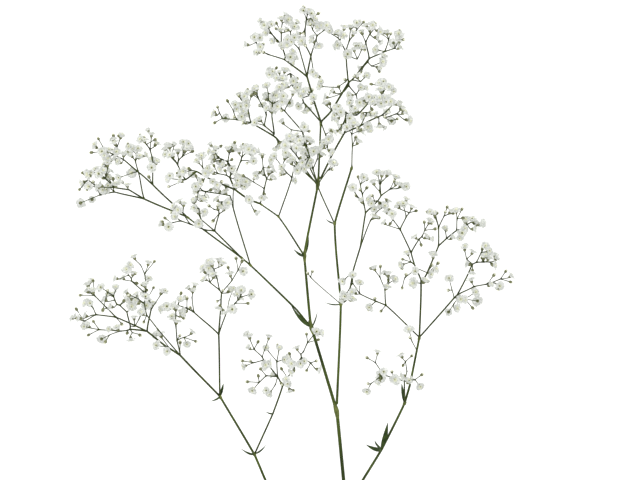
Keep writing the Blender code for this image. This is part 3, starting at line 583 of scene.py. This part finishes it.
def grow_twigs(heap, fork, arrive, radius_of, sides):
    """The twigs beyond a fork that was reached in direction arrive, and the stalks of its flowers."""
    for child in fork.next:
        way = unit(child.place - fork.place)
        onward = [unit(other.place - child.place) for other in child.next]
        onward += [flower["facing"] for flower in child.flowers]
        land = unit(way + LOOK_AHEAD * sum(onward) / len(onward)) if onward else way
        leave = unit(way + LOOK_BACK * arrive)
        thin = radius_of(child)
        thick = min(radius_of(fork), FORK_STEP * thin)
        stretch_between(heap, fork.place, child.place, (leave, land), (thick, thin), sides)
        grow_twigs(heap, child, land, radius_of, sides)
    for flower in fork.flowers:
        foot = foot_of(flower)
        if distance(foot, fork.place) > SHORTEST_STALK:
            way = unit(foot - fork.place)
            ways = (way, unit(way + STALK_TURN * flower["facing"]))
            stretch_between(heap, fork.place, foot, ways, (THIN_TWIG, THIN_TWIG), TWIG_SIDES)


# %% [markdown]
# ## A double bloom
#
# The real bloom is a pompon about 8 mm wide: a green cup of five joined sepals, then several rows
# of thin, notched, frilled petals, and a small green heart. Petals could be cut from a picture on a
# flat card, but a card shows its edge from the side. Here each petal is a small bent sheet, and
# twelve different blooms are made once, some wide open and some half closed. They are copied again
# and again, turned and sized a little differently.

# %% A petal and a row of petals
PETAL_GRID = 5
ROUNDED_CORNER, NOTCH_DEPTH = 0.16, 0.13
EDGE_CURL = 0.12
FRILL_WAVES = 2.6
LENGTH_SPREAD, WIDTH_SPREAD = (0.74, 1.12), (0.75, 1.12)
LIFT_SPREAD, DROOP_SPREAD = (0.8, 1.2), (0.5, 1.4)
ANGLE_SPREAD = (-0.18, 0.18)
UP = np.array((0.0, 0.0, 1.0))


def petal_breadth(u):
    """A petal's width at a share of its length: narrow at its foot, full near its end."""
    return 0.28 + 1.15 * u - 0.42 * u**4


def petal(length, width, lift, droop, frill, chance):
    """A sheet that leaves its foot along +X, rises by lift, bends down by droop and ends in a notch."""
    phase = chance.uniform(0, math.tau)
    points = []
    for row in range(PETAL_GRID):
        u = row / (PETAL_GRID - 1)
        half = width / 2 * petal_breadth(u)
        for column in range(PETAL_GRID):
            v = 2 * column / (PETAL_GRID - 1) - 1
            edge = abs(v)
            reach = length * u * (1 - ROUNDED_CORNER * u * edge**3 - NOTCH_DEPTH * u * (1 - edge) ** 2)
            wave = frill * u**2 * math.sin(FRILL_WAVES * math.pi * v + phase)
            rise = lift * math.sin(0.5 * math.pi * u) - droop * u**3
            points.append((reach, half * v, rise + EDGE_CURL * width * edge**2 * u + wave))
    faces = []
    for row in range(PETAL_GRID - 1):
        for column in range(PETAL_GRID - 1):
            a = row * PETAL_GRID + column
            faces.append((a, a + 1, a + PETAL_GRID + 1, a + PETAL_GRID))
    return points, faces


def petal_row(heap, chance, count, foot, height, length, width, lift, droop, frill, slot):
    """A ring of petals round the Z axis, no two of them alike; all its sizes are in millimetres."""
    turn = chance.uniform(0, math.tau)
    for number in range(count):
        points, faces = petal(
            length * MM * chance.uniform(*LENGTH_SPREAD),
            width * MM * chance.uniform(*WIDTH_SPREAD),
            lift * MM * chance.uniform(*LIFT_SPREAD),
            droop * MM * chance.uniform(*DROOP_SPREAD),
            frill * MM,
            chance,
        )
        angle = turn + math.tau * (number + chance.uniform(*ANGLE_SPREAD)) / count
        side = np.array((math.cos(angle), math.sin(angle), 0.0))
        along = np.array((-math.sin(angle), math.cos(angle), 0.0))
        moved = [side * (foot * MM + x) + along * y + UP * (height * MM + z) for x, y, z in points]
        heap.add(moved, faces, [slot] * len(faces))


def turned_cup(heap, profile, sides, slot, teeth=0.0):
    """A cup or a bead turned round the Z axis; teeth raise every other point of its rim."""
    points = []
    for row, (radius, height) in enumerate(profile):
        for step in range(sides):
            angle = math.tau * step / sides
            raised = teeth * (step % 2) if row == len(profile) - 1 else 0
            points.append((radius * math.cos(angle), radius * math.sin(angle), height + raised))
    faces = list(band_faces(len(profile), sides))
    heap.add(points, faces, [slot] * len(faces))


# %% Twelve blooms and three buds
FLOWER_FINISHES = ("petal_white", "petal_cream", "calyx_green", "heart_olive")
WHITE, CREAM, CALYX, HEART = range(4)
CUP_SIDES, HEART_SIDES, TIP_SIDES = 10, 7, 9
CUP_TEETH, EGG_TEETH = 0.45 * MM, 0.3 * MM
HEART_PLUMPNESS = (0.45, 0.9, 1.35)
TIP_SPREAD = (0.92, 1.05)
OPENNESS = (1, 1, 1, 0.95, 0.9, 0.9, 0.8, 0.75, 0.6, 0.5, 0.35, 0.2)
MODEL_SEED = 7

# Each profile is a list of rings from the foot up: radius and height in millimetres.
CUP = ((0.3, 0.0), (0.8, 0.35), (1.1, 0.9), (1.18, 1.75))
BEAD = ((0.3, 2.2), (0.4, 2.8), (0.3, 3.2), (0.02, 3.35))
EGG = ((0.25, 0.0), (0.8, 0.45), (1.08, 1.15), (0.98, 1.8), (0.8, 2.2))
TIP = ((0.86, 1.7), (0.82, 2.3), (0.55, 2.85), (0.04, 3.1))


def model_bloom(chance, openness):
    """A bloom on the origin that looks along +Z; where it is less open, it is narrower and steeper."""
    heap = Heap()
    turned_cup(heap, [(r * MM, h * MM) for r, h in CUP], CUP_SIDES, CALYX, CUP_TEETH)
    spread = 0.55 + 0.45 * openness
    steep = 1.0 - 0.45 * openness
    rows = (
        dict(count=7, foot=0.75, height=1.25, length=3.15 * spread, width=2.7,
             lift=1.5 + 0.9 * steep, droop=0.7 * openness, frill=0.22, slot=WHITE),
        dict(count=6, foot=0.6, height=1.4, length=2.5 * spread, width=2.3,
             lift=1.7 + 0.8 * steep, droop=0.4 * openness, frill=0.25, slot=WHITE),
        dict(count=6, foot=0.4, height=1.5, length=1.8 * spread, width=1.9,
             lift=1.8 + 0.6 * steep, droop=0.1, frill=0.25, slot=WHITE),
        dict(count=5, foot=0.2, height=1.6, length=1.05 * spread, width=1.3,
             lift=1.7 + 0.4 * steep, droop=0.0, frill=0.18, slot=CREAM),
    )
    for row in rows:
        petal_row(heap, chance, **row)
    plump = chance.choice(HEART_PLUMPNESS)
    turned_cup(heap, [(plump * r * MM, h * MM) for r, h in BEAD], HEART_SIDES, HEART)
    return np.array(heap.points), heap.faces, heap.slots


def model_bud(chance):
    """A closed bud: a green egg whose pale petals just show at the tip."""
    heap = Heap()
    turned_cup(heap, [(r * MM, h * MM) for r, h in EGG], CUP_SIDES, CALYX, EGG_TEETH)
    tip = [(r * MM * chance.uniform(*TIP_SPREAD), h * MM) for r, h in TIP]
    turned_cup(heap, tip, TIP_SIDES, CREAM)
    return np.array(heap.points), heap.faces, heap.slots


chance = random.Random(MODEL_SEED)
flower_models = {
    "bloom": [model_bloom(chance, openness) for openness in OPENNESS],
    "bud": [model_bud(chance) for _ in range(3)],
}
print("faces of", {kind: len(models[0][1]) for kind, models in flower_models.items()})


# %% Set a flower down
SMALLEST, LARGEST = 1.04, 1.24
LOWEST_PETAL = 0.1 * MM


def turned(facing, angle):
    """A direction square to the way a flower faces, at an angle round it."""
    side, up = across(facing)
    return math.cos(angle) * side + math.sin(angle) * up


def set_flower(heap, flower, chance):
    """Copy a bloom or bud to its place, turned about its own axis and kept above the table."""
    points, faces, slots = chance.choice(flower_models[flower["kind"]])
    facing = flower["facing"]
    first = turned(facing, chance.uniform(0, math.tau))
    second = np.cross(facing, first)
    size = chance.uniform(SMALLEST, LARGEST) * flower.get("size", 1.0)
    moved = foot_of(flower) + size * (points @ np.array((first, second, facing)))
    moved[:, 2] = np.maximum(moved[:, 2], LOWEST_PETAL)
    heap.add(moved, faces, slots)


# %% [markdown]
# ## From heaps to pieces
#
# Everything of one spray becomes two pieces, its twigs and its flowers, so that each can be
# repainted alone. Thousands of linked copies would save memory, but the kept model must hold real
# meshes. A real spray grows out of its stem without a gap, so its lowest twig starts inside the
# stem that carries it.

# %% Make a piece and tell the frame about it
def piece_of(name, heap, finish_names, replaced):
    """An object made from a heap, which rides on the plant's one body and takes a CAD node's place."""
    mesh = bpy.data.meshes.new(name)
    mesh.from_pydata(heap.points, [], heap.faces)
    for finish_name in finish_names:
        mesh.materials.append(finishes[finish_name])
    mesh.polygons.foreach_set("material_index", heap.slots)
    mesh.polygons.foreach_set("use_smooth", [True] * len(mesh.polygons))
    mesh.update()
    piece = bpy.data.objects.new(name, mesh)
    bpy.context.scene.collection.objects.link(piece)
    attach(piece, "root")
    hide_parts(replaced)
    return piece


# %% Where each root sits in its stem
CARRIER_REACH = 9 * MM


def carrier_of(name, root):
    """The nearest fork of another node, if it is near enough to carry this one."""
    others = [fork for owner, fork in all_forks if owner != name and not fork.flowers]
    nearest = min(others, key=lambda fork: distance(fork.place, root.place))
    return nearest if distance(nearest.place, root.place) < CARRIER_REACH else None


# %% [markdown]
# ## Fuller sprays
#
# A real spray holds more flowers than the solid one, many of them small, half open or still closed.
# Each could be modelled in the solid plant, but that would cost it thousands of triangles. So small
# blooms and buds on short stalks are added here beside some of the blooms, at places drawn by
# chance. Nothing keeps them clear of their neighbours, so some petals cross. The crown and the
# upper sprays are more crowded than the ones that stand out below.

# %% Fill the sprays out
CROWDED, OPEN_OUT = 0.85, 0.42
CROWDED_SPRAYS = ("crown", "upper", "middle")
BUD_CHANCE = 0.4
STALK_LENGTHS = {"bud": 4.2, "bloom": 6.6}
STALK_SPREAD = (0.85, 1.2)
STALK_LEAN = 0.9
YOUNG_SIZE = 0.85
LOWEST_YOUNG = 5 * MM


def companions(root, share, chance):
    """Small blooms and buds on short stalks, beside some of the blooms that were read."""
    beside = [(fork, flower) for fork in family(root) for flower in fork.flowers]
    added = []
    for fork, flower in beside:
        if flower["kind"] == "bud" or chance.random() > share:
            continue
        aside = turned(flower["facing"], chance.uniform(0, math.tau))
        facing = unit(flower["facing"] + STALK_LEAN * aside)
        kind = "bud" if chance.random() < BUD_CHANCE else "bloom"
        place = fork.place + facing * STALK_LENGTHS[kind] * chance.uniform(*STALK_SPREAD) * MM
        if place[2] > LOWEST_YOUNG:
            added.append({"kind": kind, "place": place, "facing": facing, "size": YOUNG_SIZE})
            fork.flowers.append(added[-1])
    return added


# %% Dress the sprays and the side stems
KNOT_FROM = 1.2 * MM
DRESSING_SEED = 23


def add_knots(heap, line, radius_of):
    """A knot at every fork where the solid stem is swollen."""
    for before, fork, after in zip(line[:1] + line, line, line[1:] + line[-1:]):
        if fork.radius > KNOT_FROM:
            knot(heap, fork.place, unit(after.place - before.place), radius_of(fork))


def dress(name, root, flowers, chance):
    """The two pieces of one node: its twigs, and its flowers where it has any."""
    twigs, blooms = Heap(), Heap()
    line = family(root)
    is_stem = name in STEM_RADII
    radius_of = stem_radius(name, line) if is_stem else twig_radius
    share = CROWDED if name.startswith(CROWDED_SPRAYS) else OPEN_OUT
    flowers = flowers + companions(root, share, chance)
    carrier = carrier_of(name, root)
    first = unit(root.next[0].place - root.place)
    if carrier is not None:
        seat = (radius_of(root), radius_of(root))
        stretch_between(twigs, carrier.place, root.place, (first, first), seat, SEAT_SIDES)
    grow_twigs(twigs, root, first, radius_of, SIDE_STEM_SIDES if is_stem else TWIG_SIDES)
    if is_stem:
        add_knots(twigs, line, radius_of)
    green = "stem_green" if is_stem else "twig_green"
    piece_of(name + "_twigs", twigs, [green, "node_green"], name)
    for flower in flowers:
        set_flower(blooms, flower, chance)
    if flowers:
        piece_of(name + "_flowers", blooms, FLOWER_FINISHES, name)


chance = random.Random(DRESSING_SEED)
for name, (root, flowers) in plants.items():
    if name != "main_stem":
        dress(name, root, flowers, chance)

# %% [markdown]
# ## The main stem
#
# It is the one thick, smooth axis, paler and swollen at its nodes, and cut straight at its foot.
# A row of cylinders would show a crease at every joint. The solid stem already has rings at the
# nodes, so the line through its rings only needs a rounder skin.

# %% Skin the main stem
SLIMMER = 0.95
STEM_STEP = 2 * MM
NODE_RISE = 1.28


def dress_main_stem():
    """A round skin over the main stem's line, with eased radii from ring to ring."""
    root, _ = plants["main_stem"]
    line = [root]
    while line[-1].next:
        line.append(line[-1].next[0])
    points, radii, paint = [], [], []
    for index, (start, end) in enumerate(zip(line, line[1:])):
        before, after = line[max(0, index - 1)], line[min(len(line) - 1, index + 2)]
        leave, arrive = unit(end.place - before.place), unit(after.place - start.place)
        steps = max(2, int(distance(end.place, start.place) / STEM_STEP))
        thin, thick = sorted((start.radius, end.radius))
        points += curve_points(start.place, end.place, leave, arrive, steps)[:steps]
        for step in range(steps):
            share = step / steps
            eased = share * share * (3 - 2 * share)
            radii.append(SLIMMER * ((1 - eased) * start.radius + eased * end.radius))
        paint += [NODE if thick > NODE_RISE * thin else PLAIN] * steps
    points.append(line[-1].place)
    radii.append(SLIMMER * line[-1].radius)
    heap = Heap()
    tube(heap, points, radii, MAIN_STEM_SIDES, paint)
    return heap


main_stem = dress_main_stem()
piece_of("main_stem_skin", main_stem, ["stem_green", "node_green"], "main_stem")
print("faces of the main stem:", len(main_stem.faces))

# %% [markdown]
# ## Leaves
#
# Small lance-shaped leaves sit at some of the nodes. Each solid leaf is a plain blade. A flat
# picture of a leaf on a card would vanish from the side, so the dressed one is a folded sheet with
# a keel, drawn out to a fine point, on the same line.

# %% Read a leaf back
LEAF_RING = 4


def leaf_rings(node):
    """The middle and the half width of each four-pointed ring of a solid leaf, from foot to tip."""
    spots, _ = solid_of(node)
    along = np.linalg.svd(spots - spots.mean(axis=0))[2][0]
    spots = spots[np.argsort(spots @ along)]
    along = unit(spots[-LEAF_RING:].mean(axis=0) - spots[:LEAF_RING].mean(axis=0))
    spots = spots[np.argsort(spots @ along)]
    side = unit(np.cross(along, UP))
    rings = [spots[start:start + LEAF_RING] for start in range(0, len(spots), LEAF_RING)]
    rows = [(ring.mean(axis=0), np.ptp(ring @ side) / 2) for ring in rings]
    tips = (rows[0][0], rows[-1][0])
    first, last = (min(distance(fork.place, tip) for _, fork in all_forks) for tip in tips)
    return rows if first < last else rows[::-1]


# %% Dress the leaves
LEAF_STEPS = 14
LEAF_ROOT = 1.2 * MM
LEAF_BOW = 0.09
LEAF_THICKNESS, LEAF_THINNING = 0.22 * MM, 0.7
NARROWEST = 0.05
LOWEST_LEAF = 0.05 * MM

# Across the blade: the place from edge to edge, and how far the fold lifts it, both in half widths.
FACE = ((-1, 0.25), (-0.5, 0.08), (0, -0.05), (0.5, 0.08), (1, 0.25))
BACK = ((1, 0.25), (0.5, 0.08), (0, -0.12), (-0.5, 0.08), (-1, 0.25))


def leaf_breadth(t):
    """A leaf's width at a share of its length: full near its foot, then drawn out to a point."""
    return max(NARROWEST, math.sin(math.pi * min(1, 0.14 + 0.86 * t**0.8)) ** 0.8)


def dress_leaf(node):
    """A keeled blade on the line of a solid leaf, bowed so that its tip turns up to the crown."""
    rows = leaf_rings(node)
    foot, tip = rows[0][0], rows[-1][0]
    length = distance(tip, foot)
    along = (tip - foot) / length
    side = unit(np.cross(along, UP))
    up = np.cross(side, along)
    sag = max(((middle - foot) @ up for middle, _ in rows), key=abs)
    bow = -LEAF_BOW * length * side * side[1]
    wide = max(half for _, half in rows)
    points = []
    for row in range(LEAF_STEPS + 1):
        t = row / LEAF_STEPS
        arch = 4 * t * (1 - t)
        centre = foot - along * LEAF_ROOT * (1 - t) + (tip - foot) * t + (up * sag + bow) * arch
        half = wide * leaf_breadth(t)
        thick = LEAF_THICKNESS * (1 - LEAF_THINNING * t)
        points += [centre + side * half * out + up * (half * lift + thick) for out, lift in FACE]
        points += [centre + side * half * out + up * (half * lift - thick) for out, lift in BACK]
    points = np.array(points)
    points[:, 2] = np.maximum(points[:, 2], LOWEST_LEAF)
    around = len(FACE) + len(BACK)
    faces = [(a, d, c, b) for a, b, c, d in band_faces(LEAF_STEPS + 1, around)]
    last = LEAF_STEPS * around
    faces += [tuple(range(around)), tuple(range(last + around - 1, last - 1, -1))]
    heap = Heap()
    heap.add(points, faces, [PLAIN] * len(faces))
    return heap


leaves = {name: node for name, node in nodes.items() if name.startswith("leaf")}
for name, node in leaves.items():
    piece_of(name + "_blade", dress_leaf(node), ["leaf_green"], name)
print("leaves:", len(leaves))

# %% [markdown]
# ## Camera and light
#
# The photograph looks straight at the stem against plain white, with hardly a shadow. A long lens
# from far above keeps the tall blooms where they are in the picture, and a pale floor that glows a
# little swallows the shadows. A sheet of pure light would do that too, but then the stem would not
# seem to lie on anything.

# %% Floor and camera
PICTURE_CENTRE = (0.0203, 0.0733)
PICTURE_WIDTH = 0.48
CAMERA_HEIGHT = 12.0
CAMERA_SIGHT = 20
SENSOR_WIDTH = 36
FLOOR_REACH = 4
FLOOR_DROP = 0.5 * MM
FLOOR_LOOK = dict(
    dark=(244, 244, 243), light=(250, 250, 250), blotches=2, roughness=0.9,
    bump=0.0, grain=40, glow=0.62,
)


def make_floor():
    mesh = bpy.data.meshes.new("floor")
    corners = [(x * FLOOR_REACH, y * FLOOR_REACH, 0) for x, y in ((-1, -1), (1, -1), (1, 1), (-1, 1))]
    mesh.from_pydata(corners, [], [(0, 1, 2, 3)])
    mesh.materials.append(finish("floor_white", **FLOOR_LOOK))
    floor = bpy.data.objects.new("floor", mesh)
    floor.location.z = -FLOOR_DROP
    bpy.context.scene.collection.objects.link(floor)


def make_camera():
    data = bpy.data.cameras.new("camera")
    data.sensor_width = SENSOR_WIDTH
    data.lens = SENSOR_WIDTH * CAMERA_HEIGHT / PICTURE_WIDTH
    data.clip_end = CAMERA_SIGHT
    camera = bpy.data.objects.new("camera", data)
    camera.location = (*PICTURE_CENTRE, CAMERA_HEIGHT)
    bpy.context.scene.collection.objects.link(camera)
    bpy.context.scene.camera = camera


make_floor()
make_camera()
print("camera height:", CAMERA_HEIGHT, "picture width:", PICTURE_WIDTH)


# %% Two soft lights and a pale world
WORLD_LIGHT = 0.45


def make_light(name, place, size, power):
    """A square light that looks at the middle of the plant's frame."""
    data = bpy.data.lights.new(name, "AREA")
    data.size = size
    data.energy = power
    light = bpy.data.objects.new(name, data)
    light.location = place
    light.rotation_euler = (-Vector(place)).to_track_quat("-Z", "Y").to_euler()
    bpy.context.scene.collection.objects.link(light)


def make_world():
    world = bpy.data.worlds.new("pale_world")
    world.use_nodes = True
    background = world.node_tree.nodes["Background"]
    background.inputs["Color"].default_value = (1, 1, 1, 1)
    background.inputs["Strength"].default_value = WORLD_LIGHT
    bpy.context.scene.world = world
    bpy.context.scene.view_settings.view_transform = "Standard"


make_light("soft_key", place=(-0.9, 0.9, 1.7), size=1.4, power=16)
make_light("soft_fill", place=(1.2, -0.6, 1.5), size=1.6, power=8)
make_world()
print("lights:", len(bpy.data.lights))
